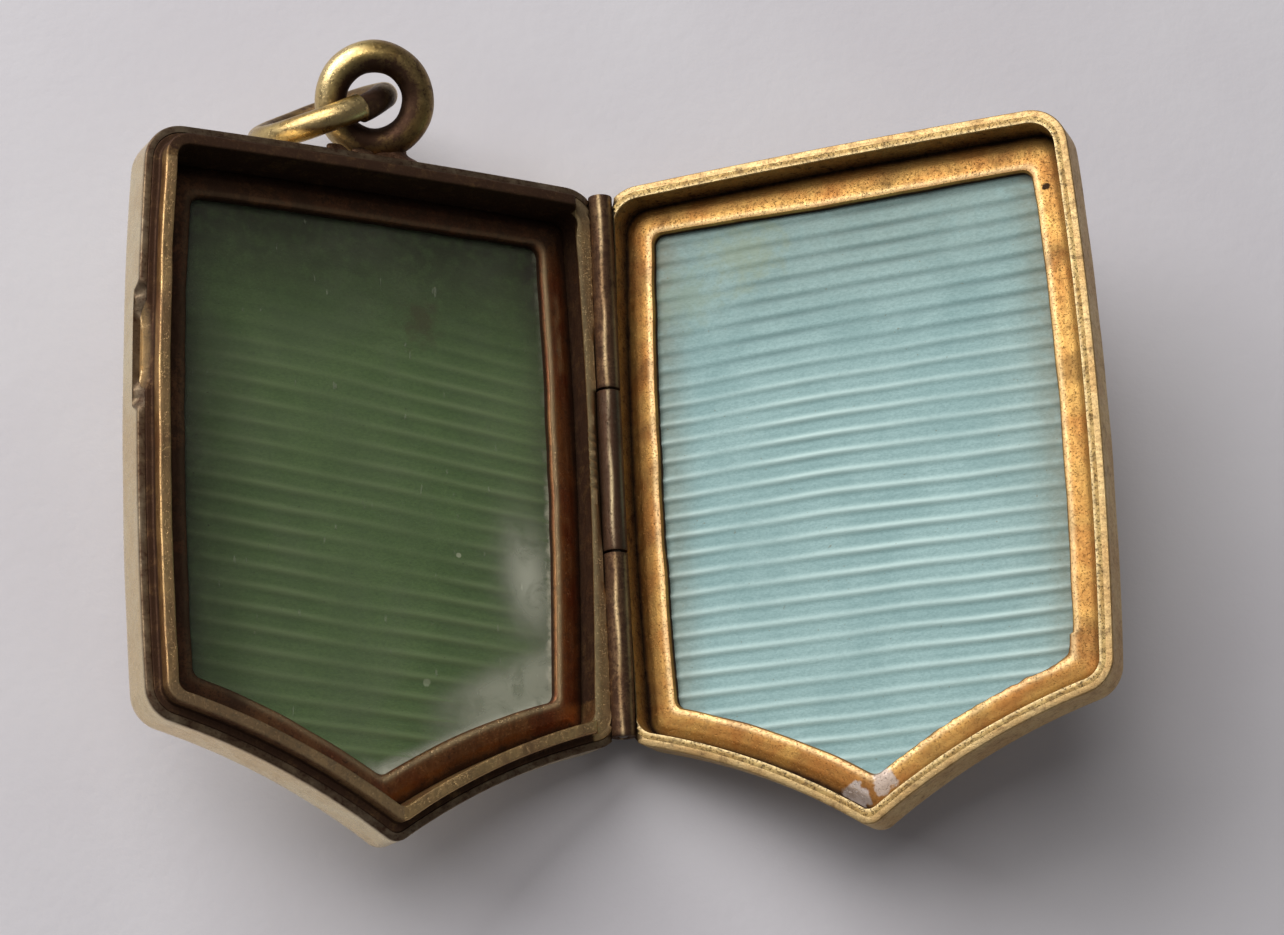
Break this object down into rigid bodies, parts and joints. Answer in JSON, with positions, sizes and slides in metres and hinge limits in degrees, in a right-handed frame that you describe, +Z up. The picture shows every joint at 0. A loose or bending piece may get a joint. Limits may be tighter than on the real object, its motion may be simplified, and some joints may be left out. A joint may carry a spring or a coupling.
{
  "type": "shield-shaped hinged photo locket",
  "caption": "Open hinged photo locket with a pointed shield outline, snap lip, picture frames over ribbed paper inserts, and a bail eye with a jump ring.",
  "frame": {"origin": "on the resting surface, under the middle of the overall box", "axes": "+X across the open locket from the half with the bail to the half with the flat rim, +Y along the hinge towards the bail, +Z up out of the open halves"},
  "size_m": [0.0326, 0.0278, 0.0095],
  "materials": {
    "case_gold": "soft polish, worn and faintly scratched",
    "inner_gold": "tarnished",
    "rim_gold": "flat, finely brushed",
    "frame_gold": "soft polish, tarnished in the corner",
    "hinge_gold": "worn polish",
    "bail_gold": "polished wire",
    "solder": "dull, pitted",
    "pin_steel": "dull",
    "celluloid": "glossy, yellowed, chipped along its edge",
    "green_paper": "ribbed, dark green",
    "blue_paper": "ribbed, pale blue",
    "backing_card": "plain"
  },
  "bodies": {
    "left_half": {"left_cover": "case_gold", "left_band": "inner_gold", "left_backing": "backing_card", "left_paper": "green_paper", "left_window": "celluloid", "left_frame": "frame_gold", "hinge_knuckle_top": "hinge_gold", "hinge_knuckle_bottom": "hinge_gold", "hinge_pin": "pin_steel", "bail_eye": "bail_gold", "bail_solder": "solder"},
    "right_half": {"right_cover": "case_gold", "right_band": "rim_gold", "right_backing": "backing_card", "right_paper": "blue_paper", "right_frame": "frame_gold", "hinge_knuckle_middle": "hinge_gold"},
    "jump_ring": {"jump_ring": "bail_gold"}
  },
  "joints": [
    {"name": "locket_hinge", "type": "hinge", "parent": "left_half", "child": "right_half", "pos_m": [0, -0.00026, 0.00177], "axis": [0, -1, 0], "range_deg": [0, 129]},
    {"name": "ring_travel", "type": "hinge", "parent": "left_half", "child": "jump_ring", "pos_m": [-0.00789, 0.01199, 0.0052], "axis": [-0.135, 0.4067, -0.9035], "range_deg": [0, 222]}
  ]
}
